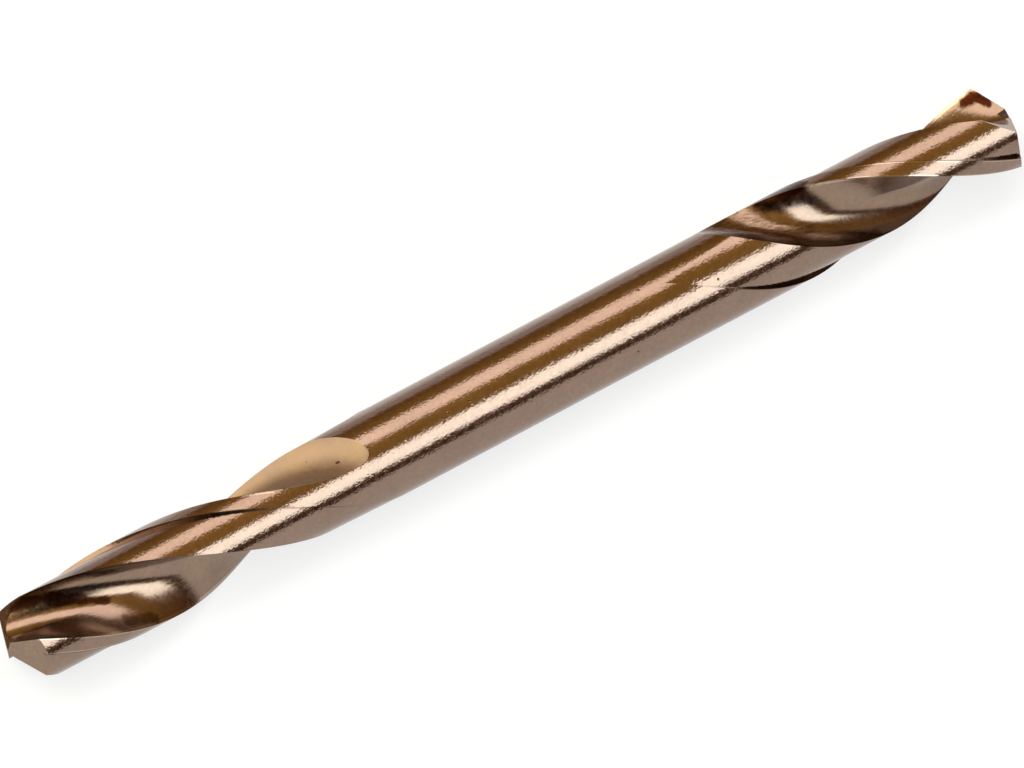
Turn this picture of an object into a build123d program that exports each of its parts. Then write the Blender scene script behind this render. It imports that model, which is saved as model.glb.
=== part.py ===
from build123d import *
from math import asin, atan2, cos, degrees, hypot, pi, radians, sin, sqrt, tan
import os

# Double-ended twist drill, both ends right-hand helix and right-hand cut.
# X runs along the axis, the origin is halfway between the two chisel edges.

# Overall sizes in mm
total_length = 62.0
drill_diameter = 4.9
shank_diameter = 4.8

# Point, the same at both ends
point_angle = 135.0
flank_relief_angle = 9.0
lip_ahead_of_centre = 0.5
half_chisel_length = 0.13
split_direction = 46.0
split_slope = 38.0
split_opening = 104.0

# Land and flute in cross section
flute_width_angle = 101.0
flute_heel_radius = 1.2
margin_width_angle = 21.0
body_clearance_depth = 0.2

# Grinding wheels that cut the flutes and the body clearance
flute_wheel_radius = 23.5
clearance_wheel_radius = 52.0
clearance_lift_angle = 105.0
clearance_reach_angle = 128.0

# As the flute wheel lifts out, its cut widens and leans towards the lip's side
run_out_spread = 0.4
run_out_lean = 0.3

# Each end has its own lead, rolled position and run-out, as read off the photograph
right_lead = 31.2
right_roll = 201.7
right_flute_lift_start = 9.0
right_clearance_lift_start = 13.05
left_lead = 34.7
left_roll = 128.7
left_flute_lift_start = 12.1
left_clearance_lift_start = 14.55

# Length of the ground body over which it tapers down to the shank
back_taper_length = 20.0

# Values worked out from the sizes above
drill_radius = drill_diameter / 2
shank_radius = shank_diameter / 2
cleared_radius = shank_radius - body_clearance_depth
half_point = radians(point_angle / 2)
lip_span = sqrt(drill_radius**2 - lip_ahead_of_centre**2)
corner_setback = lip_span / tan(half_point)
chisel_setback = lip_ahead_of_centre * tan(radians(flank_relief_angle))
corner_angle = asin(lip_ahead_of_centre / drill_radius)
heel_angle = corner_angle + radians(flute_width_angle)
heel_a = cleared_radius * cos(heel_angle)
heel_b = cleared_radius * sin(heel_angle)
arc_centre_b = lip_ahead_of_centre + flute_heel_radius
arc_centre_a = heel_a + sqrt(flute_heel_radius**2 - (heel_b - arc_centre_b) ** 2)
arc_end_angle = atan2(heel_b - arc_centre_b, heel_a - arc_centre_a)
web_radius = hypot(arc_centre_a, arc_centre_b) - flute_heel_radius
flute_depth = drill_radius - web_radius
flute_middle = radians(flute_width_angle) / 2
notch_reach = 1.3 * drill_radius


def turned(point, angle):
    return (point[0] * cos(angle) - point[1] * sin(angle), point[0] * sin(angle) + point[1] * cos(angle))


def lip_twist(span, lead):
    """Angle the helix makes between a point of the lip and the outer corner."""
    return 2 * pi / lead * (corner_setback - span / tan(half_point))


def flute_outline(lead):
    """Flute in cross section, from outside the leading corner round to outside the heel."""
    outline = []
    tangent_radius = hypot(arc_centre_a, lip_ahead_of_centre)
    rake_steps = 7
    for step in range(rake_steps):
        radius = 1.32 * drill_radius + (tangent_radius - 1.32 * drill_radius) * step / rake_steps
        span = sqrt(radius**2 - lip_ahead_of_centre**2)
        outline.append(turned((span, lip_ahead_of_centre), -lip_twist(span, lead)))
    arc_start = -pi / 2
    arc_end = arc_end_angle - 2 * pi if arc_end_angle > 0 else arc_end_angle
    arc_steps = 8
    for step in range(arc_steps + 1):
        share = step / arc_steps
        angle = arc_start + (arc_end - arc_start) * share
        point = (
            arc_centre_a + flute_heel_radius * cos(angle),
            arc_centre_b + flute_heel_radius * sin(angle),
        )
        outline.append(turned(point, -lip_twist(arc_centre_a, lead) * (1 - share)))
    for reach in (0.45, 1.0):
        point = (
            heel_a + reach * sin(arc_end),
            heel_b - reach * cos(arc_end),
        )
        outline.append(point)
    return [turned(point, -corner_angle) for point in outline]


def flute_section(station, lead, lift_start):
    """The flute outline at one station, moved outwards where the wheel leaves the work."""
    lift = max(0.0, station - lift_start) ** 2 / (2 * flute_wheel_radius)
    moved = []
    for ahead, across in flute_outline(lead):
        outward = ahead * cos(flute_middle) + across * sin(flute_middle) + lift
        sideways = ahead * sin(flute_middle) - across * cos(flute_middle)
        sideways = sideways * (1 + run_out_spread * lift) + run_out_lean * lift
        # the helix turns towards +Y here, so what lies ahead of the lip has a negative Y
        moved_ahead = outward * cos(flute_middle) + sideways * sin(flute_middle)
        moved_across = outward * sin(flute_middle) - sideways * cos(flute_middle)
        moved.append((moved_ahead, -moved_across))
    return moved[::-1]


def polar(radius, angle):
    return (radius * cos(angle), radius * sin(angle))


def end_plane(toward_body, roll):
    """Plane where the lips would meet, its Z into the body, its X towards a land's leading corner."""
    return Plane(
        origin=(-toward_body * (total_length / 2 + chisel_setback), 0, 0),
        x_dir=(0, cos(radians(roll)), sin(radians(roll))),
        z_dir=(toward_body, 0, 0),
    )


def section_plane(tip, station, turn):
    """Plane square to the axis at a distance from the tip, turned with the helix."""
    angle = radians(turn)
    return Plane(
        origin=tip.origin + tip.z_dir * station,
        x_dir=tip.x_dir * cos(angle) + tip.y_dir * sin(angle),
        z_dir=tip.z_dir,
    )


ends = (
    (end_plane(-1, right_roll), right_lead, right_flute_lift_start, right_clearance_lift_start),
    (end_plane(1, left_roll), left_lead, left_flute_lift_start, left_clearance_lift_start),
)
flute_run_out = sqrt(2 * flute_wheel_radius * (flute_depth + 0.6))
clearance_run_out = sqrt(2 * clearance_wheel_radius * 1.5)
station_step = 1.5
tip_margin = 0.8
blank_end = total_length / 2 + tip_margin / 2

with BuildPart() as drill_bit:
    # Blank: a plain shank with a slight back taper towards it from each drill end
    with BuildSketch(Plane.XY):
        with BuildLine():
            Polyline(
                (-blank_end, 0),
                (-blank_end, drill_radius),
                (back_taper_length - total_length / 2, shank_radius),
                (total_length / 2 - back_taper_length, shank_radius),
                (blank_end, drill_radius),
                (blank_end, 0),
                close=True,
            )
        make_face()
    revolve(axis=Axis.X)

    for tip, lead, flute_lift_start, clearance_lift_start in ends:
        for half_turn in (0, 180):
            # Body clearance behind each margin
            clearance_end = clearance_lift_start + clearance_run_out
            steps = round((clearance_end + tip_margin) / station_step)
            for step in range(steps + 1):
                station = -tip_margin + (clearance_end + tip_margin) * step / steps
                turn = 360 * (station - corner_setback) / lead + half_turn
                lift = max(0.0, station - clearance_lift_start) ** 2 / (2 * clearance_wheel_radius)
                shift = Vector(*polar(lift, radians(clearance_lift_angle)))
                first = radians(margin_width_angle)
                last = radians(clearance_reach_angle)
                outer_radius = 1.5 * drill_radius
                with BuildSketch(section_plane(tip, station, turn)):
                    with BuildLine():
                        inner = ThreePointArc(
                            Vector(*polar(cleared_radius, first)) + shift,
                            Vector(*polar(cleared_radius, (first + last) / 2)) + shift,
                            Vector(*polar(cleared_radius, last)) + shift,
                        )
                        outer = ThreePointArc(
                            Vector(*polar(outer_radius, first)) + shift,
                            Vector(*polar(outer_radius, (first + last) / 2)) + shift,
                            Vector(*polar(outer_radius, last)) + shift,
                        )
                        Line(inner @ 0, outer @ 0)
                        Line(inner @ 1, outer @ 1)
                    make_face()
            loft(mode=Mode.SUBTRACT)

            # Flute ahead of the same margin
            flute_end = flute_lift_start + flute_run_out
            steps = round((flute_end + tip_margin) / station_step)
            for step in range(steps + 1):
                station = -tip_margin + (flute_end + tip_margin) * step / steps
                turn = 360 * (station - corner_setback) / lead + half_turn
                outline = flute_section(station, lead, flute_lift_start)
                far_point = Vector(*polar(3.2 * drill_radius, -flute_middle))
                with BuildSketch(section_plane(tip, station, turn)):
                    with BuildLine():
                        Spline(outline)
                        ThreePointArc(outline[-1], far_point, outline[0])
                    make_face()
            loft(mode=Mode.SUBTRACT)

    fall = tan(radians(flank_relief_angle))
    rise = 1 / tan(half_point)
    for tip, lead, flute_lift_start, clearance_lift_start in ends:
        for half_turn in (0, 180):
            # Flank: a plane through the lip, falling away behind it
            lip_frame = section_plane(tip, 0, degrees(corner_angle) + half_turn)
            flank_origin = lip_frame.from_local_coords(Vector(0, -lip_ahead_of_centre, 0))
            flank_normal = (
                lip_frame.x_dir * -rise + lip_frame.y_dir * -fall + lip_frame.z_dir
            )
            split(bisect_by=Plane(origin=flank_origin, z_dir=flank_normal), keep=Keep.TOP)

        for half_turn in (0, 180):
            # Split: a sloping notch in front of the lip that leaves only a short chisel edge
            lip_frame = section_plane(tip, 0, degrees(corner_angle) + half_turn)
            across = radians(split_direction)
            slope = radians(split_slope)
            outward = lip_frame.x_dir * cos(across) - lip_frame.y_dir * sin(across)
            notch_line = outward * sin(slope) + lip_frame.z_dir * cos(slope)
            wall_up = outward * cos(slope) - lip_frame.z_dir * sin(slope)
            notch_start = (
                lip_frame.origin
                + outward * half_chisel_length
                + lip_frame.z_dir * chisel_setback
                - notch_line * notch_reach
            )
            notch_plane = Plane(origin=notch_start, x_dir=wall_up, z_dir=notch_line)
            side = -1 if notch_plane.y_dir.dot(lip_frame.y_dir) > 0 else 1
            floor_angle = radians(split_opening)
            floor_end = (
                notch_reach * cos(floor_angle),
                side * notch_reach * sin(floor_angle),
            )
            with BuildSketch(notch_plane):
                with BuildLine():
                    Polyline((0, 0), (notch_reach, 0), floor_end, close=True)
                make_face()
            extrude(amount=3 * notch_reach, mode=Mode.SUBTRACT)

drill_bit.part.label = "drill_bit"
os.makedirs("parts", exist_ok=True)
export_step(drill_bit.part, "parts/drill_bit.step")
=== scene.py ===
import math
import time
import bpy
from mathutils import Matrix, Vector


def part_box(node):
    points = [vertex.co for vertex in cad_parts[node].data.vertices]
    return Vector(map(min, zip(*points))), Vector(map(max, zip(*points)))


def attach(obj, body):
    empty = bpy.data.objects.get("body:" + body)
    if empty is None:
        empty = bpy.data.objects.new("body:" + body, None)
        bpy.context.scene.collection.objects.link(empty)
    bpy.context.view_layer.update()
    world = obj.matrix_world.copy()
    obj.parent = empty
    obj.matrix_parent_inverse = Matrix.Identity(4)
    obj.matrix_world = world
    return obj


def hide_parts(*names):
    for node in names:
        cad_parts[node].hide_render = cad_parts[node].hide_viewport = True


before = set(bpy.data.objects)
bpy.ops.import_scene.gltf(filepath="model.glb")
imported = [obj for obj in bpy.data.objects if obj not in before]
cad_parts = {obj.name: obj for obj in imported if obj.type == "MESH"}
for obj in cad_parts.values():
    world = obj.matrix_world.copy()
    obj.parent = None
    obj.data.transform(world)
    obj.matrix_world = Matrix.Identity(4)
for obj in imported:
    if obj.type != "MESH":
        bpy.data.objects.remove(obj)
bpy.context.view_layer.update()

sceneStart = time.time()


class Value:  # a number socket that can stand in Python sums
    def __init__(self, tree, socket):
        self.tree = tree
        self.socket = socket

    def sum(self, operation, *others):
        values = {place: item for place, item in enumerate((self,) + others)}
        node = addNode(self.tree, "ShaderNodeMath", {"operation": operation}, values)
        return Value(self.tree, node.outputs[0])

    def turned(self, operation, other):
        node = addNode(self.tree, "ShaderNodeMath", {"operation": operation}, {0: other, 1: self})
        return Value(self.tree, node.outputs[0])

    def __add__(self, other):
        return self.sum("ADD", other)

    def __radd__(self, other):
        return self.turned("ADD", other)

    def __sub__(self, other):
        return self.sum("SUBTRACT", other)

    def __rsub__(self, other):
        return self.turned("SUBTRACT", other)

    def __mul__(self, other):
        return self.sum("MULTIPLY", other)

    def __rmul__(self, other):
        return self.turned("MULTIPLY", other)

    def __truediv__(self, other):
        return self.sum("DIVIDE", other)

    def __rtruediv__(self, other):
        return self.turned("DIVIDE", other)

    def __pow__(self, other):
        return self.sum("POWER", other)

    def __neg__(self):
        return self.sum("MULTIPLY", -1.0)

    def sine(self):
        return self.sum("SINE")

    def cosine(self):
        return self.sum("COSINE")

    def tangent(self):
        return self.sum("TANGENT")

    def arcsine(self):
        return self.sum("ARCSINE")

    def root(self):
        return self.sum("SQRT")

    def radians(self):
        return self.sum("RADIANS")

    def atLeast(self, other):
        return self.sum("MAXIMUM", other)

    def atMost(self, other):
        return self.sum("MINIMUM", other)

    def over(self, other):
        return self.sum("GREATER_THAN", other)

    def angleFrom(self, ahead):
        return self.sum("ARCTAN2", ahead)

    def unit(self):
        return self.atLeast(0.0).atMost(1.0)


def addNode(tree, kind, settings=None, values=None):
    node = tree.nodes.new(kind)
    for name, setting in (settings or {}).items():
        setattr(node, name, setting)
    for place, item in (values or {}).items():
        socket = node.inputs[place]
        if isinstance(item, Value):
            item = item.socket
        if isinstance(item, (list, tuple)) and item and isinstance(item[0], bpy.types.NodeSocket):
            for link in item:
                tree.links.new(link, socket)
        elif isinstance(item, bpy.types.NodeSocket):
            tree.links.new(item, socket)
        else:
            socket.default_value = item
    return node


drill = {
    "Total length": 62.0,  # all in mm and degrees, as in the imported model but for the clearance's run-out
    "Drill diameter": 4.9,
    "Shank diameter": 4.8,
    "Back taper": 20.0,
    "Point angle": 135.0,
    "Flank relief": 9.0,
    "Lip ahead of centre": 0.5,
    "Half chisel": 0.13,
    "Split direction": 46.0,
    "Split slope": 38.0,
    "Split opening": 104.0,
    "Flute width": 101.0,
    "Flute heel radius": 1.2,
    "Margin width": 21.0,
    "Body clearance": 0.2,
    "Flute wheel": 23.5,
    "Clearance wheel": 52.0,
    "Clearance reach": 128.0,
    "Clearance skew": 3.95,  # mm that the clearance runs out sooner for each radian behind the margin
    "Margin widening": 0.2,  # degrees for each square mm
    "Widening length": 5.6,  # mm that the margin has widened over where the clearance starts to run out
    "Run-out spread": 0.4,
    "Run-out lean": 0.3,
    "Right lead": 31.2,
    "Right roll": 201.7,
    "Right flute lift": 9.0,
    "Right clearance lift": 18.6,
    "Left lead": 34.7,
    "Left roll": 128.7,
    "Left flute lift": 12.1,
    "Left clearance lift": 20.1,
}
# facets round and along the bar and the two kinds of long cutter
detail = {
    "around": 192,
    "along": 90,
    "fluteAround": 72,
    "fluteAlong": 120,
    "landAround": 48,
    "landAlong": 110,
}
# how far the cutters stand clear of the bar, in mm or as shares of the drill's radius
clear = {
    "tip": 0.8,
    "flute": 0.6,
    "land": 0.2,
    "fluteOuter": 1.32,
    "fluteBulge": 1.5,
    "landOuter": 1.5,
    "notchReach": 1.3,
    "flankBlock": (9.0, 9.0, 2.0),
    "flankFront": -6.0,
}
# shares of the way round a flute's outline where the lip's face, the round floor and the heel's exit end
outline = {"rakeEnd": 0.30, "arcEnd": 0.66, "exitEnd": 0.76}
landFloorShare = 0.62  # of the way round the clearance's outline
# a hair under a thousandth, so that every facet stays inside the CAD's box
metresPerMm = (0.0009997, 0.0009985, 0.0009985)


def placed(tree, geometry, ahead, across, station, shape, end, halfTurn, twisted=True, flipped=False):
    # local place seen from a tip, turned with the helix and set on the drill's axis
    radius = (ahead * ahead + across * across).root()
    angle = -across.angleFrom(ahead) + halfTurn
    if twisted:
        angle = angle + (station - shape["cornerSetback"]) * (2 * math.pi) / end["lead"]
    around = end["roll"].radians() + angle * end["side"]
    along = (station - shape["length"] / 2 - shape["chiselSetback"]) * end["side"]
    point = addNode(tree, "ShaderNodeCombineXYZ", None, {
        0: along, 1: radius * around.cosine(), 2: radius * around.sine()})
    moved = addNode(tree, "GeometryNodeSetPosition", None, {
        "Geometry": geometry, "Position": point.outputs[0]})
    if flipped:
        moved = addNode(tree, "GeometryNodeFlipFaces", None, {0: moved.outputs[0]})
    return moved.outputs[0]


def tube(tree, sides, steps):
    # a closed tube: share around it from 0 to 1, and share along it
    mesh = addNode(tree, "GeometryNodeMeshCylinder", {"fill_type": "NGON"}, {
        "Vertices": sides, "Side Segments": steps, "Radius": 1.0, "Depth": 1.0})
    place = addNode(tree, "GeometryNodeInputPosition")
    split = addNode(tree, "ShaderNodeSeparateXYZ", None, {0: place.outputs[0]})
    x, y, z = (Value(tree, socket) for socket in split.outputs)
    around = y.angleFrom(x) / (2 * math.pi)
    hair = 0.25 / sides  # keeps the first point at 0 when it rounds to just below
    around = (around + 1.0 + hair).sum("FRACT") - hair
    return mesh.outputs[0], around, z + 0.5


def mixed(first, second, share):
    return first + (second - first) * share


def spun(ahead, across, angle):
    return ahead * angle.cosine() - across * angle.sine(), ahead * angle.sine() + across * angle.cosine()


def fluteCutter(tree, shape, end, halfTurn):
    mesh, around, along = tube(tree, detail["fluteAround"], detail["fluteAlong"])
    rakeEnd, arcEnd, exitEnd = outline.values()
    station = along * (end["fluteLift"] + shape["fluteRunOut"] + clear["tip"]) - clear["tip"]
    lip = shape["lip"]

    def twist(span):
        return (shape["cornerSetback"] - span / shape["halfPoint"].tangent()) * (2 * math.pi) / end["lead"]

    # straight face that starts at the lip
    outer = shape["drillRadius"] * clear["fluteOuter"]
    radius = mixed(outer, shape["tangentRadius"], (around / rakeEnd).unit())
    span = (radius * radius - lip * lip).root()
    rakeAhead, rakeAcross = spun(span, lip, -twist(span))
    # round floor up to the heel
    share = ((around - rakeEnd) / (arcEnd - rakeEnd)).unit()
    angle = mixed(shape["arcStart"], shape["arcStop"], share)
    arcAhead, arcAcross = spun(
        shape["arcAhead"] + shape["heelRadius"] * angle.cosine(),
        shape["arcAcross"] + shape["heelRadius"] * angle.sine(),
        -twist(shape["arcAhead"]) * (1.0 - share))
    # straight out past the heel
    reach = ((around - arcEnd) / (exitEnd - arcEnd)).unit()
    exitAhead = shape["heelAhead"] + reach * shape["arcStop"].sine()
    exitAcross = shape["heelAcross"] - reach * shape["arcStop"].cosine()
    isArc = around.over(rakeEnd)
    isExit = around.over(arcEnd)
    ahead = mixed(mixed(rakeAhead, arcAhead, isArc), exitAhead, isExit)
    across = mixed(mixed(rakeAcross, arcAcross, isArc), exitAcross, isExit)
    # closed well outside the bar
    close = ((around - exitEnd) / (1.0 - exitEnd)).unit()
    isClose = around.over(exitEnd)
    startSpan = (outer * outer - lip * lip).root()
    startAhead, startAcross = spun(startSpan, lip, -twist(startSpan))
    bulge = shape["drillRadius"] * clear["fluteBulge"] * (close * math.pi).sine()
    lineAhead = mixed(exitAhead, startAhead, close)
    lineAcross = mixed(exitAcross, startAcross, close)
    middle = shape["fluteMiddle"] + shape["corner"]
    ahead = mixed(ahead, lineAhead + bulge * middle.cosine(), isClose)
    across = mixed(across, lineAcross + bulge * middle.sine(), isClose)

    ahead, across = spun(ahead, across, -shape["corner"])
    late = (station - end["fluteLift"]).atLeast(0.0)
    lift = late * late / (shape["fluteWheel"] * 2.0)
    outward, sideways = spun(ahead, across, -shape["fluteMiddle"])
    outward = outward + lift
    sideways = sideways * (1.0 + shape["spread"] * lift) - shape["lean"] * lift
    ahead, across = spun(outward, sideways, shape["fluteMiddle"])
    return placed(tree, mesh, ahead, across, station, shape, end, halfTurn)


def landCutter(tree, shape, end, halfTurn):
    sides = detail["landAround"]
    mesh, around, along = tube(tree, sides, detail["landAlong"])
    innerCount = int(sides * landFloorShare)
    step = (around * sides).sum("ROUND")
    innerShare = (step / innerCount).unit()
    outerShare = ((step - (innerCount + 1)) / (sides - innerCount - 2)).unit()
    isOuter = step.over(innerCount + 0.5)
    station = along * (end["landLift"] + shape["landRunOut"] + clear["tip"]) - clear["tip"]
    grown = (station - end["landLift"] + shape["wideningLength"]).atLeast(0.0)
    margin = shape["marginWidth"].radians()
    first = margin + (grown * grown * shape["widening"]).radians()
    last = shape["clearanceReach"].radians()
    angle = mixed(mixed(first, last, innerShare), mixed(last, first, outerShare), isOuter)
    late = (station - end["landLift"] + shape["landSkew"] * (angle - margin)).atLeast(0.0)
    floor = shape["clearedRadius"] + late * late / (shape["landWheel"] * 2.0)
    radius = mixed(floor, shape["drillRadius"] * clear["landOuter"], isOuter)
    ahead = radius * angle.cosine()
    across = radius * angle.sine()
    return placed(tree, mesh, ahead, -across, station, shape, end, halfTurn, flipped=True)


def flankCutter(tree, shape, end, halfTurn):
    # everything in front of the plane through the lip
    cube = addNode(tree, "GeometryNodeMeshCube", None, {"Size": clear["flankBlock"]})
    place = addNode(tree, "GeometryNodeInputPosition")
    split = addNode(tree, "ShaderNodeSeparateXYZ", None, {0: place.outputs[0]})
    ahead, across, depth = (Value(tree, socket) for socket in split.outputs)
    fall = (shape["lip"] - across) * shape["relief"].radians().tangent()
    plane = ahead / shape["halfPoint"].tangent() + fall
    station = mixed(clear["flankFront"], plane, depth.over(0.0))
    tipTurn = shape["corner"] + halfTurn
    return placed(tree, cube.outputs[0], ahead, across, station, shape, end, tipTurn,
                  twisted=False, flipped=True)


def notchCutter(tree, shape, end, halfTurn):
    # a three-sided prism along the notch's bottom line
    prism = addNode(tree, "GeometryNodeMeshCylinder", {"fill_type": "NGON"}, {
        "Vertices": 3, "Side Segments": 1, "Radius": 1.0, "Depth": 1.0})
    place = addNode(tree, "GeometryNodeInputPosition")
    split = addNode(tree, "ShaderNodeSeparateXYZ", None, {0: place.outputs[0]})
    x, y, z = (Value(tree, socket) for socket in split.outputs)
    reach = shape["drillRadius"] * clear["notchReach"]
    isWall = y.over(0.1)  # the prism's corners lie at 0 and at 0.87 to either side
    isFloor = (-y).over(0.1)
    opening = shape["splitOpening"].radians()
    up = (isWall + isFloor * opening.cosine()) * reach
    side = isFloor * opening.sine() * reach
    along = (z + 0.5) * (3 * reach) - reach
    direction = shape["splitDirection"].radians()
    slope = shape["splitSlope"].radians()
    outward = shape["halfChisel"] + along * slope.sine() + up * slope.cosine()
    station = shape["chiselSetback"] + along * slope.cosine() - up * slope.sine()
    ahead = outward * direction.cosine() - side * direction.sine()
    across = outward * direction.sine() + side * direction.cosine()
    tipTurn = shape["corner"] + halfTurn
    return placed(tree, prism.outputs[0], ahead, across, station, shape, end, tipTurn,
                  twisted=False, flipped=True)


def drillTree():
    tree = bpy.data.node_groups.new("groundDrill", "GeometryNodeTree")
    tree.interface.new_socket("Geometry", in_out="INPUT", socket_type="NodeSocketGeometry")
    tree.interface.new_socket("Geometry", in_out="OUTPUT", socket_type="NodeSocketGeometry")
    for name in drill:
        tree.interface.new_socket(name, in_out="INPUT", socket_type="NodeSocketFloat")
    tree.interface.new_socket("Finish", in_out="INPUT", socket_type="NodeSocketMaterial")
    given = addNode(tree, "NodeGroupInput")
    size = {name: Value(tree, given.outputs[name]) for name in drill}

    shape = {
        "length": size["Total length"],
        "drillRadius": size["Drill diameter"] / 2,
        "shankRadius": size["Shank diameter"] / 2,
        "halfPoint": (size["Point angle"] / 2).radians(),
        "relief": size["Flank relief"],
        "lip": size["Lip ahead of centre"],
        "halfChisel": size["Half chisel"],
        "splitDirection": size["Split direction"],
        "splitSlope": size["Split slope"],
        "splitOpening": size["Split opening"],
        "heelRadius": size["Flute heel radius"],
        "marginWidth": size["Margin width"],
        "fluteWheel": size["Flute wheel"],
        "landWheel": size["Clearance wheel"],
        "landSkew": size["Clearance skew"],
        "widening": size["Margin widening"],
        "wideningLength": size["Widening length"],
        "clearanceReach": size["Clearance reach"],
        "spread": size["Run-out spread"],
        "lean": size["Run-out lean"],
        "arcStart": -math.pi / 2,
    }
    shape["clearedRadius"] = shape["shankRadius"] - size["Body clearance"]
    lip, drillRadius = shape["lip"], shape["drillRadius"]
    shape["cornerSetback"] = (drillRadius * drillRadius - lip * lip).root() / shape["halfPoint"].tangent()
    shape["chiselSetback"] = lip * shape["relief"].radians().tangent()
    shape["corner"] = (lip / drillRadius).arcsine()
    heelAngle = shape["corner"] + size["Flute width"].radians()
    shape["heelAhead"] = shape["clearedRadius"] * heelAngle.cosine()
    shape["heelAcross"] = shape["clearedRadius"] * heelAngle.sine()
    shape["arcAcross"] = lip + shape["heelRadius"]
    drop = shape["heelAcross"] - shape["arcAcross"]
    heelRadius = shape["heelRadius"]
    shape["arcAhead"] = shape["heelAhead"] + (heelRadius * heelRadius - drop * drop).root()
    stop = drop.angleFrom(shape["heelAhead"] - shape["arcAhead"])
    shape["arcStop"] = stop - stop.over(0.0) * (2 * math.pi)
    shape["tangentRadius"] = (shape["arcAhead"] * shape["arcAhead"] + lip * lip).root()
    across, ahead = shape["arcAcross"], shape["arcAhead"]
    webRadius = (ahead * ahead + across * across).root() - heelRadius
    shape["fluteMiddle"] = (size["Flute width"] / 2).radians()
    shape["fluteRunOut"] = ((drillRadius - webRadius + clear["flute"]) * shape["fluteWheel"] * 2).root()
    shape["landRunOut"] = (shape["landWheel"] * 2 * (size["Body clearance"] + clear["land"])).root()

    ends = []
    for name, side in (("Right", -1.0), ("Left", 1.0)):
        ends.append({"side": side, "lead": size[name + " lead"], "roll": size[name + " roll"],
                     "fluteLift": size[name + " flute lift"], "landLift": size[name + " clearance lift"]})

    # the bar before grinding, with its back taper
    mesh, around, along = tube(tree, detail["around"], detail["along"])
    blankEnd = shape["length"] / 2 + clear["tip"] / 2
    x = (along - 0.5) * 2 * blankEnd
    taper = ((x.sum("ABSOLUTE") - shape["length"] / 2 + size["Back taper"])
             / (size["Back taper"] + clear["tip"] / 2)).unit()
    radius = mixed(shape["shankRadius"], drillRadius, taper)
    turn = around * (2 * math.pi)
    point = addNode(tree, "ShaderNodeCombineXYZ", None, {
        0: x, 1: radius * turn.cosine(), 2: radius * turn.sine()})
    bar = addNode(tree, "GeometryNodeSetPosition", None, {"Geometry": mesh, "Position": point.outputs[0]})

    cutters = []
    for end in ends:
        for halfTurn in (0.0, math.pi):
            for maker in (fluteCutter, landCutter, flankCutter, notchCutter):
                cutters.append(maker(tree, shape, end, halfTurn))
    ground = addNode(tree, "GeometryNodeMeshBoolean", {"operation": "DIFFERENCE", "solver": "MANIFOLD"}, {
        0: bar.outputs[0], 1: cutters})
    metres = addNode(tree, "GeometryNodeTransform", None, {
        "Geometry": ground.outputs[0], "Scale": metresPerMm})
    smooth = addNode(tree, "GeometryNodeSetShadeSmooth", None, {"Geometry": metres.outputs[0]})
    real = addNode(tree, "GeometryNodeRealizeInstances", None, {0: smooth.outputs[0]})
    coated = addNode(tree, "GeometryNodeSetMaterial", None, {
        "Geometry": real.outputs[0], "Material": given.outputs["Finish"]})
    addNode(tree, "NodeGroupOutput", None, {0: coated.outputs[0]})
    return tree


def plainMesh(name, tree, inputs):
    # runs a tree on an empty mesh and keeps the result as an ordinary mesh
    holder = bpy.data.objects.new(name, bpy.data.meshes.new(name))
    bpy.context.scene.collection.objects.link(holder)
    modifier = holder.modifiers.new("ground", "NODES")
    modifier.node_group = tree
    for item in tree.interface.items_tree:
        if item.in_out == "INPUT" and item.name in inputs:
            modifier[item.identifier] = inputs[item.name]
    result = holder.evaluated_get(bpy.context.evaluated_depsgraph_get())
    mesh = bpy.data.meshes.new_from_object(result)
    holder.modifiers.remove(modifier)
    holder.data = mesh
    mesh.name = name
    return holder


finish = {
    "bronze": (0.275, 0.190, 0.146, 1.0),  # tempered high-speed steel, as it came from the furnace
    "straw": (0.295, 0.205, 0.128, 1.0),  # yellower temper colour that stays in the flutes
    "scaleAndShade": (0.038, 0.009, 0.003, 1.0),  # dark brown scale, and the colour of the painted shade, painted shadow and painted dark reflection
    "wearAndHighlight": (0.52, 0.43, 0.35, 1.0),  # bright steel on worn corners and nicks, and the colour of the painted highlights on the land corners and on the margin step's edge
    "roughness": 0.15,
    "flute roughness": 0.19,
    "dish roughness": 0.50,  # where the left flutes run out
    "roughness spread": 0.20,
    "least roughness": 0.06,
    "mottle size": 0.22,  # mm, the uneven skin of the shank
    "mottle height": 0.0085,
    "mottle ground off": 0.85,  # share that the flutes lack
    "grain size": 0.12,
    "grain height": 0.0085,
    "grain ground off": 0.7,
    "grind pitch": 0.10,  # mm between grinding lines in the flutes
    "grind stretch": 0.06,  # how little the lines change along a flute
    "grind height": 0.0032,
    "cloud size": 1.7,  # mm, the slow change of the temper colour
    "straw share": 0.18,
    "straw spread": 2.2,
    "dish straw": 0.5,
    "shade": 0.80,
    "cloud shade": 0.25,
    "mottle shade": 0.35,
    "ragged": 1.2,  # how uneven the worn corners and the painted shadow and highlight of the margin step are, in degrees
}
# where the grindings lie, in mm from the axis and from the tip
region = {
    "flute reach": 2.14,  # what lies deeper is a flute
    "flute fade": 0.05,
    "wall cosine": 0.975,  # what leans more from straight out is a flute's wall
    "wall fade": 0.02,
    "wall reach": 2.39,
    "dish start": 12.0,
    "dish fade": 4.0,
}
pits = {
    "spacing": 1.1,  # mm between the places that may hold one
    "radius": 0.055,
    "smallest": 0.4,  # as a share of the radius
    "size spread": 1.2,
    "rim": 0.03,
    "pit chance over": 0.55,
    "nick chance under": 0.14,  # a nick is a bright dent
    "pit cover": 0.8,
    "nick cover": 0.9,
    "depth": 0.01,
}
# bright wear and a painted highlight of the rounded edge beside the corners of the lands, in degrees
cornerWearAndHighlight = {
    "width": 1.7,
    "ragged": 2.0,
    "fade": 0.8,
    "from radius": 2.25,
    "to station": 16.0,
    "cover": 0.45,
}
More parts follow.
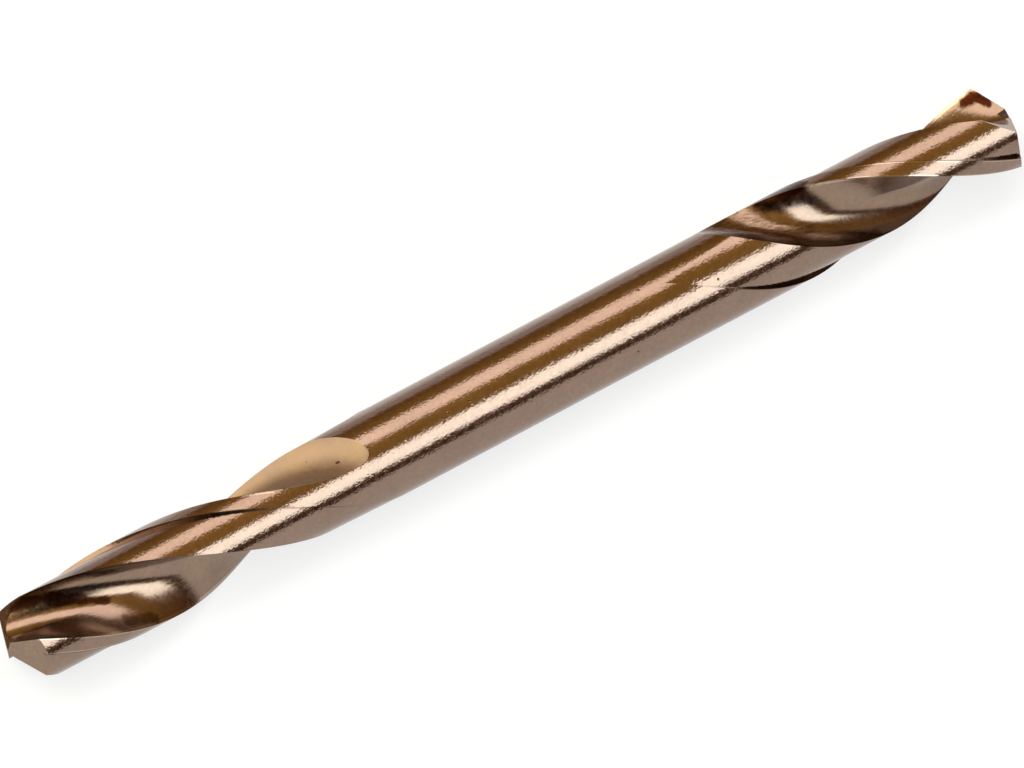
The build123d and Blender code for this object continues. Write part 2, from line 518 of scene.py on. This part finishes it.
# the step behind each margin, painted shadow at its foot and a painted highlight on its edge: in degrees
# past the corner that has the flute in between, and in mm from the axis and the tip
stepShadowAndHighlight = {
    "widening start": 13.0,
    "widening": 0.2,
    "stepShadow": 159.0,
    "foot width": 1.6,
    "foot fade": 1.0,
    "foot radius": 2.15,
    "foot end": 21.0,
    "foot end fade": 2.0,
    "foot cover": 0.4,
    "edge": 160.6,
    "edge width": 1.0,
    "edge fade": 0.7,
    "edge radius": 2.36,
    "edge end": 12.0,
    "edge cover": 0.5,
}
# dark patches in mm, burnt scale and some painted dark reflection: from one end to the other, radius, how
# much each covers
stainsAndDarkReflections = {
    "cornerSpot": ((29.52, 1.95, 0.58), (29.95, 1.90, 0.68), 0.50, 1.0),
    "cornerTail": ((30.0, 1.80, 0.70), (30.35, 1.05, 0.65), 0.27, 1.0),
    "runOutBlot": ((16.6, 1.55, 1.80), (18.3, 1.15, 2.05), 0.74, 0.95),
    "floorBlot": ((19.6, -1.65, -0.20), (21.4, -1.75, -0.85), 0.42, 0.5),
    # leftCorner, leftFlute and leftDeep: burnt scale, and painted dark reflection along the left end's
    # corner and flute
    "leftCorner": ((-29.6, 1.65, 0.95), (-27.6, 1.10, 1.00), 0.42, 0.85),
    "leftFlute": ((-28.0, 1.15, 1.00), (-26.2, 0.20, 0.68), 0.42, 0.9),
    "leftDeep": ((-26.4, 0.25, 0.70), (-25.2, -0.35, 0.42), 0.30, 0.85),
    "leftRim": ((-24.80, -1.74, -0.05), (-23.40, -2.02, -0.55), 0.42, 0.6),
    "dishSpeck": ((-11.14, -0.45, 1.80), (-11.05, -0.48, 1.82), 0.09, 0.9),
}
darkPatchEdge = {"patch size": 0.9, "patch contrast": 2.4, "ragged": 0.8, "fade": 0.45}
# painted shade: a dark streaky band in place of a dark reflection beside the far rim of the right flutes:
# degrees past the corner at the tip and for each mm
rimShade = {
    "atTip": 296.0,
    "perMm": -14.3,
    "width": 68.0,
    "fade": 16.0,
    "from": 11.0,
    "from fade": 1.5,
    "to": 18.4,
    "to fade": 1.0,
    "streak": 0.45,
    "streak contrast": 3.0,
    "cover": 0.6,
}


def helixPlace(tree, x, y, z):
    # object coordinates in mm, untwisted end by end, so that a line along a flute stays in place
    left = (0.0 - x).over(0.0)
    side = left * 2.0 - 1.0
    span = math.sqrt((drill["Drill diameter"] / 2) ** 2 - drill["Lip ahead of centre"] ** 2)
    setback = span / math.tan(math.radians(drill["Point angle"] / 2))
    chisel = drill["Lip ahead of centre"] * math.tan(math.radians(drill["Flank relief"]))
    station = drill["Total length"] / 2 + chisel - x.sum("ABSOLUTE")
    turnPerMm = mixed(360.0 / drill["Right lead"], 360.0 / drill["Left lead"], left)
    roll = mixed(drill["Right roll"], drill["Left roll"], left)
    turn = (roll + side * (station - setback) * turnPerMm).radians()
    untwistedY = y * turn.cosine() + z * turn.sine()
    untwistedZ = z * turn.cosine() - y * turn.sine()
    pastCorner = (untwistedZ * side * -1.0).angleFrom(untwistedY) * (180.0 / math.pi)
    # degrees past a land's leading corner: the flute ahead of it comes first, then the other land
    pastCorner = (pastCorner + 360.0).sum("MODULO", 180.0)
    return station, untwistedY, untwistedZ, pastCorner


def speckle(tree, place, size, detailLevel=2.0, roughness=0.5):
    # noise from 0 to 1, evenly about 0.5
    noise = addNode(tree, "ShaderNodeTexNoise", None, {
        "Vector": place, "Scale": 1.0 / size, "Detail": detailLevel, "Roughness": roughness})
    return Value(tree, noise.outputs[0])


def colourMix(tree, share, first, second):
    node = addNode(tree, "ShaderNodeMix", {"data_type": "RGBA"}, {0: share, 6: first, 7: second})
    return node.outputs[2]


def vectorSum(tree, operation, first, second):
    return addNode(tree, "ShaderNodeVectorMath", {"operation": operation}, {0: first, 1: second})


def stainAndReflectionCover(tree, place, ragged):
    # how far a point is from the line down the middle of each dark patch, burnt scale or painted dark
    # reflection
    cover = None
    for start, stop, radius, strength in stainsAndDarkReflections.values():
        line = Vector(stop) - Vector(start)
        fromStart = vectorSum(tree, "SUBTRACT", place, start).outputs[0]
        share = vectorSum(tree, "DOT_PRODUCT", fromStart, tuple(line)).outputs["Value"]
        share = (Value(tree, share) / line.length_squared).unit()
        onLine = addNode(tree, "ShaderNodeVectorMath", {"operation": "SCALE"}, {
            0: tuple(line), "Scale": share})
        apart = vectorSum(tree, "DISTANCE", fromStart, onLine.outputs[0]).outputs["Value"]
        inside = radius - Value(tree, apart) + ragged * (radius * darkPatchEdge["ragged"])
        depth = inside / (radius * darkPatchEdge["fade"])
        spot = depth.unit() * strength
        cover = spot if cover is None else cover.atLeast(spot)
    return cover


def groundParts(tree, y, z, radius, station):
    # the flutes, with their steep walls near the outside, and the dish where each runs out
    surface = addNode(tree, "ShaderNodeNewGeometry")
    outward = addNode(tree, "ShaderNodeCombineXYZ", None, {0: 0.0, 1: y / radius, 2: z / radius})
    upright = vectorSum(tree, "DOT_PRODUCT", surface.outputs["True Normal"], outward.outputs[0])
    wall = ((region["wall cosine"] - Value(tree, upright.outputs["Value"])) / region["wall fade"]).unit()
    wall = wall * (region["wall reach"] - radius).over(0.0)
    inFlute = ((region["flute reach"] - radius) / region["flute fade"]).unit().atLeast(wall)
    dish = ((station - region["dish start"]) / region["dish fade"]).unit() * inFlute
    return inFlute, dish


def pitsAndNicks(tree, place):
    # one to a cell of a sparse pattern, and only in some cells
    cells = addNode(tree, "ShaderNodeTexVoronoi", None, {"Vector": place, "Scale": 1.0 / pits["spacing"]})
    chance = addNode(tree, "ShaderNodeSeparateColor", None, {0: cells.outputs["Color"]})
    near = Value(tree, cells.outputs["Distance"]) * pits["spacing"]
    size = pits["radius"] * (pits["smallest"] + Value(tree, chance.outputs[1]) * pits["size spread"])
    spot = ((size - near) / pits["rim"]).unit()
    pit = spot * Value(tree, chance.outputs[0]).over(pits["pit chance over"])
    nick = spot * (pits["nick chance under"] - Value(tree, chance.outputs[0])).over(0.0)
    return pit, nick


def edgeMarks(radius, station, pastCorner, ragged):
    # worn corners of the lands with a painted highlight, then the painted shadow at the foot and the
    # painted highlight on the edge of the step behind each margin
    away = pastCorner.atMost(180.0 - pastCorner)
    wearAndHighlight = ((cornerWearAndHighlight["width"] + ragged * cornerWearAndHighlight["ragged"] - away) / cornerWearAndHighlight["fade"]).unit()
    wearAndHighlight = wearAndHighlight * (radius - cornerWearAndHighlight["from radius"]).over(0.0)
    wearAndHighlight = wearAndHighlight * (cornerWearAndHighlight["to station"] - station).over(0.0)
    step = stepShadowAndHighlight
    grown = (station - step["widening start"]).atLeast(0.0)
    grown = grown * grown * step["widening"]
    fromFoot = (pastCorner - step["stepShadow"] + grown).sum("ABSOLUTE")
    stepShadow = ((step["foot width"] + ragged - fromFoot) / step["foot fade"]).unit()
    stepShadow = stepShadow * (radius - step["foot radius"]).over(0.0)
    stepShadow = stepShadow * ((step["foot end"] - station) / step["foot end fade"]).unit()
    fromEdge = (pastCorner - step["edge"] + grown).sum("ABSOLUTE")
    edge = ((step["edge width"] + ragged - fromEdge) / step["edge fade"]).unit()
    edge = edge * (radius - step["edge radius"]).over(0.0) * (step["edge end"] - station).over(0.0)
    return wearAndHighlight, stepShadow, edge


# painted shade beside the far rim of the right flutes, streaked by the grinding lines
def rimPaintedShade(x, station, pastCorner, inFlute, lines):
    inside = pastCorner - rimShade["atTip"] - station * rimShade["perMm"] + rimShade["width"]
    rim = (inside / rimShade["fade"]).unit() * inFlute
    rim = rim * ((station - rimShade["from"]) / rimShade["from fade"]).unit()
    rim = rim * ((rimShade["to"] - station) / rimShade["to fade"]).unit()
    streaks = (rimShade["streak"] + (lines - rimShade["streak"]) * rimShade["streak contrast"]).unit()
    return rim * x.over(0.0) * streaks


def temperedSteel():
    metal = bpy.data.materials.new("temperedSteel")
    metal.use_nodes = True
    tree = metal.node_tree
    bsdf = tree.nodes["Principled BSDF"]
    given = addNode(tree, "ShaderNodeTexCoord")
    scaled = addNode(tree, "ShaderNodeVectorMath", {"operation": "SCALE"}, {
        0: given.outputs["Object"], "Scale": 1000.0})  # metres to mm
    place = scaled.outputs[0]
    split = addNode(tree, "ShaderNodeSeparateXYZ", None, {0: place})
    x, y, z = (Value(tree, socket) for socket in split.outputs)
    radius = (y * y + z * z).root()
    station, untwistedY, untwistedZ, pastCorner = helixPlace(tree, x, y, z)
    inFlute, dish = groundParts(tree, y, z, radius, station)
    dull = dish * (0.0 - x).over(0.0)  # only the left one is dull

    # unevenness of the skin, coarse and fine, and lines that the grinding wheel left along the flutes
    mottle = speckle(tree, place, finish["mottle size"], detailLevel=3.0, roughness=0.6)
    grain = speckle(tree, place, finish["grain size"], detailLevel=1.0)
    cloud = speckle(tree, place, finish["cloud size"], detailLevel=3.0, roughness=0.6)
    alongFlute = addNode(tree, "ShaderNodeCombineXYZ", None, {
        0: untwistedY, 1: untwistedZ, 2: x * finish["grind stretch"]})
    lines = speckle(tree, alongFlute.outputs[0], finish["grind pitch"])

    pit, nick = pitsAndNicks(tree, place)
    ragged = (mottle - 0.5) * finish["ragged"]
    wearAndHighlight, stepShadow, edge = edgeMarks(radius, station, pastCorner, ragged)
    patchy = speckle(tree, place, darkPatchEdge["patch size"], detailLevel=4.0, roughness=0.65)
    patchy = (patchy - 0.5) * darkPatchEdge["patch contrast"]
    scaleAndShade = stainAndReflectionCover(tree, place, patchy)
    rim = rimPaintedShade(x, station, pastCorner, inFlute, lines)

    yellow = finish["straw share"] + (cloud - 0.5) * finish["straw spread"] + dull * finish["dish straw"]
    colour = colourMix(tree, inFlute * yellow.unit(), finish["bronze"], finish["straw"])
    light = finish["shade"] + cloud * finish["cloud shade"] + (mottle - 0.5) * finish["mottle shade"]
    shade = addNode(tree, "ShaderNodeVectorMath", {"operation": "SCALE"}, {0: colour, "Scale": light})
    # bright steel: worn corners with a painted highlight, the painted highlight on the margin step's edge,
    # and nicks
    bright = (wearAndHighlight * cornerWearAndHighlight["cover"]).atLeast(edge * stepShadowAndHighlight["edge cover"])
    bright = bright.atLeast(nick * pits["nick cover"])
    colour = colourMix(tree, bright, shade.outputs[0], finish["wearAndHighlight"])
    # darker: painted shade beside the right flutes' far rim, painted shadow at the margin step's foot,
    # burnt scale with painted dark reflection, and pits
    for cover in (rim * rimShade["cover"], stepShadow * stepShadowAndHighlight["foot cover"], scaleAndShade, pit * pits["pit cover"]):
        colour = colourMix(tree, cover, colour, finish["scaleAndShade"])
    tree.links.new(colour, bsdf.inputs["Base Color"])

    polish = mixed(finish["roughness"], finish["flute roughness"], inFlute)
    polish = mixed(polish, finish["dish roughness"], dull)
    polish = polish + (mottle - 0.5) * finish["roughness spread"]
    tree.links.new(polish.atLeast(finish["least roughness"]).socket, bsdf.inputs["Roughness"])

    height = (mottle - 0.5) * finish["mottle height"] * (1.0 - inFlute * finish["mottle ground off"])
    height = height + (grain - 0.5) * finish["grain height"] * (1.0 - inFlute * finish["grain ground off"])
    height = height + (lines - 0.5) * finish["grind height"] * inFlute - pit * pits["depth"]
    bump = addNode(tree, "ShaderNodeBump", None, {
        "Height": height, "Distance": 0.001, "Strength": 1.0})  # heights are in mm
    tree.links.new(bump.outputs[0], bsdf.inputs["Normal"])
    bsdf.inputs["Metallic"].default_value = 1.0
    return metal


sharpAngle = 24.0  # degrees, steeper edges stay sharp
steel = temperedSteel()
drillPiece = plainMesh("doubleEndedDrill", drillTree(), {**drill, "Finish": steel})
drillMesh = drillPiece.data
drillMesh.set_sharp_from_angle(angle=math.radians(sharpAngle))
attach(drillPiece, "root")
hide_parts("drill_bit")
print("drill ground:", len(drillMesh.vertices), "points", len(drillMesh.polygons), "faces",
      "%.1f s" % (time.time() - sceneStart))

for spare in ("Cube", "Light", "Camera"):  # what Blender starts with
    if spare in bpy.data.objects:
        bpy.data.objects.remove(bpy.data.objects[spare])

studio = {
    "floorSize": 3.0,  # metres
    "floorColour": (0.80, 0.87, 0.98, 1.0),  # cool, against the warm room
    "floorRoughness": 0.9,
    "floorWhite": (1.0, 1.0, 1.0, 1.0),
    "floorGlow": 0.74,  # how far the paper is its own white to the camera and in the metal
    "roomLow": (0.08, 0.015, 0.003, 1.0),  # brown room at the horizon
    "roomHigh": (0.72, 0.44, 0.11, 1.0),  # and overhead
    "roomCurve": 1.25,  # how late the room brightens from the horizon up
    "roomDark": (0.010, 0.006, 0.004, 1.0),  # dark curtain right of the camera
    "curtainX": -0.02,  # its middle, half width and fade, as the sideways part of a direction
    "curtainHalf": 0.17,
    "curtainFade": 0.06,
    "curtainAround": 145.0,  # the same round the drill, in degrees from the back
    "curtainHalfAround": 50.0,
    "curtainFadeAround": 12.0,
}
# side angle from square to the drill, angle round it from the back, distance, spans, strength, colour
lamps = {
    "frontSoftbox": (22.0, 144.2, 0.6, 32.0, 28.0, 4.2, (0.87, 1.03, 1.10)),
    "topSoftbox": (14.0, 76.0, 0.6, 58.0, 28.0, 2.4, (0.95, 0.94, 0.96)),
    "leftSoftbox": (-36.0, 88.0, 0.7, 36.0, 84.0, 3.7, (1.0, 1.0, 0.86)),
    "backStrip": (22.0, 8.0, 0.7, 80.0, 26.0, 0.6, (1.0, 1.0, 1.05)),
}


def studioFloor():
    half = studio["floorSize"] / 2
    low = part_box("drill_bit")[0][2]
    mesh = bpy.data.meshes.new("studioFloor")
    corners = [(-half, -half, low), (half, -half, low), (half, half, low), (-half, half, low)]
    mesh.from_pydata(corners, [], [(0, 1, 2, 3)])
    floor = bpy.data.objects.new("studioFloor", mesh)
    bpy.context.scene.collection.objects.link(floor)
    paper = bpy.data.materials.new("whitePaper")
    paper.use_nodes = True
    tree = paper.node_tree
    bsdf = tree.nodes["Principled BSDF"]
    bsdf.inputs["Base Color"].default_value = studio["floorColour"]
    bsdf.inputs["Roughness"].default_value = studio["floorRoughness"]
    bsdf.inputs["Specular IOR Level"].default_value = 0.0
    path = addNode(tree, "ShaderNodeLightPath")
    seen = Value(tree, path.outputs["Is Camera Ray"]) + Value(tree, path.outputs["Is Glossy Ray"])
    seen = seen + Value(tree, path.outputs["Is Transmission Ray"])
    glow = addNode(tree, "ShaderNodeEmission", None, {"Color": studio["floorWhite"], "Strength": 1.0})
    both = addNode(tree, "ShaderNodeMixShader", None, {
        0: seen.atMost(1.0) * studio["floorGlow"], 1: bsdf.outputs[0], 2: glow.outputs[0]})
    tree.links.new(both.outputs[0], tree.nodes["Material Output"].inputs["Surface"])
    mesh.materials.append(paper)


def softbox(name):
    side, around, distance, spanAlong, spanAround, strength, colour = lamps[name]
    side, around = math.radians(side), math.radians(around)
    lamp = bpy.data.lights.new(name, "AREA")
    lamp.shape = "RECTANGLE"
    lamp.size = 2 * distance * math.tan(math.radians(spanAlong / 2))
    lamp.size_y = 2 * distance * math.tan(math.radians(spanAround / 2))
    lamp.energy = strength * math.pi * lamp.size * lamp.size_y
    lamp.color = colour
    holder = bpy.data.objects.new(name, lamp)
    away = Vector((math.sin(side), math.cos(side) * math.cos(around), math.cos(side) * math.sin(around)))
    along = Vector((math.cos(side), -math.sin(side) * math.cos(around), -math.sin(side) * math.sin(around)))
    holder.matrix_world = Matrix((along, away.cross(along), away)).transposed().to_4x4()
    holder.location = away * distance
    bpy.context.scene.collection.objects.link(holder)


studioFloor()
for name in lamps:
    softbox(name)


def brownRoom():
    world = bpy.data.worlds.new("room")
    bpy.context.scene.world = world
    world.use_nodes = True
    tree = world.node_tree
    place = addNode(tree, "ShaderNodeTexCoord")
    split = addNode(tree, "ShaderNodeSeparateXYZ", None, {0: place.outputs["Generated"]})
    x, y, z = (Value(tree, socket) for socket in split.outputs)
    height = z.unit() ** studio["roomCurve"]
    colour = colourMix(tree, height, studio["roomLow"], studio["roomHigh"])
    around = z.angleFrom(y) * (180.0 / math.pi)
    beside = (x - studio["curtainX"]).sum("ABSOLUTE")
    curtain = ((studio["curtainHalf"] - beside) / studio["curtainFade"]).unit()
    above = (around - studio["curtainAround"]).sum("ABSOLUTE")
    curtain = curtain * ((studio["curtainHalfAround"] - above) / studio["curtainFadeAround"]).unit()
    colour = colourMix(tree, curtain, colour, studio["roomDark"])
    tree.links.new(colour, tree.nodes["Background"].inputs["Color"])


brownRoom()
print("studio lit")

photo = {
    "azimuth": -34.6,  # degrees from the front, left where it is below 0
    "elevation": 50.25,
    "distance": 1.7,  # metres, short enough for the views from other sides
    "pixelsPerMm": 19.66,
    "originPixel": (512.6, 384.0),
    "frame": (1024, 768),
    "clip": (0.05, 20.0),
}


def photoCamera():
    camera = bpy.data.cameras.new("photoCamera")
    holder = bpy.data.objects.new("photoCamera", camera)
    bpy.context.scene.collection.objects.link(holder)
    azimuth, elevation = math.radians(photo["azimuth"]), math.radians(photo["elevation"])
    toViewer = Vector((
        math.cos(elevation) * math.sin(azimuth),
        -math.cos(elevation) * math.cos(azimuth),
        math.sin(elevation)))
    holder.location = toViewer * photo["distance"]
    holder.rotation_euler = toViewer.to_track_quat("Z", "Y").to_euler()
    wide, high = photo["frame"]
    originX, originY = photo["originPixel"]
    frameWidth = wide / photo["pixelsPerMm"] / 1000  # in metres
    camera.lens = camera.sensor_width * photo["distance"] / frameWidth
    camera.shift_x = (wide / 2 - originX) / wide
    camera.shift_y = (originY - high / 2) / wide
    camera.clip_start, camera.clip_end = photo["clip"]
    bpy.context.scene.camera = holder


photoCamera()
bpy.context.scene.view_settings.view_transform = "Standard"
bpy.context.view_layer.update()
print("all set, %.1f s" % (time.time() - sceneStart))
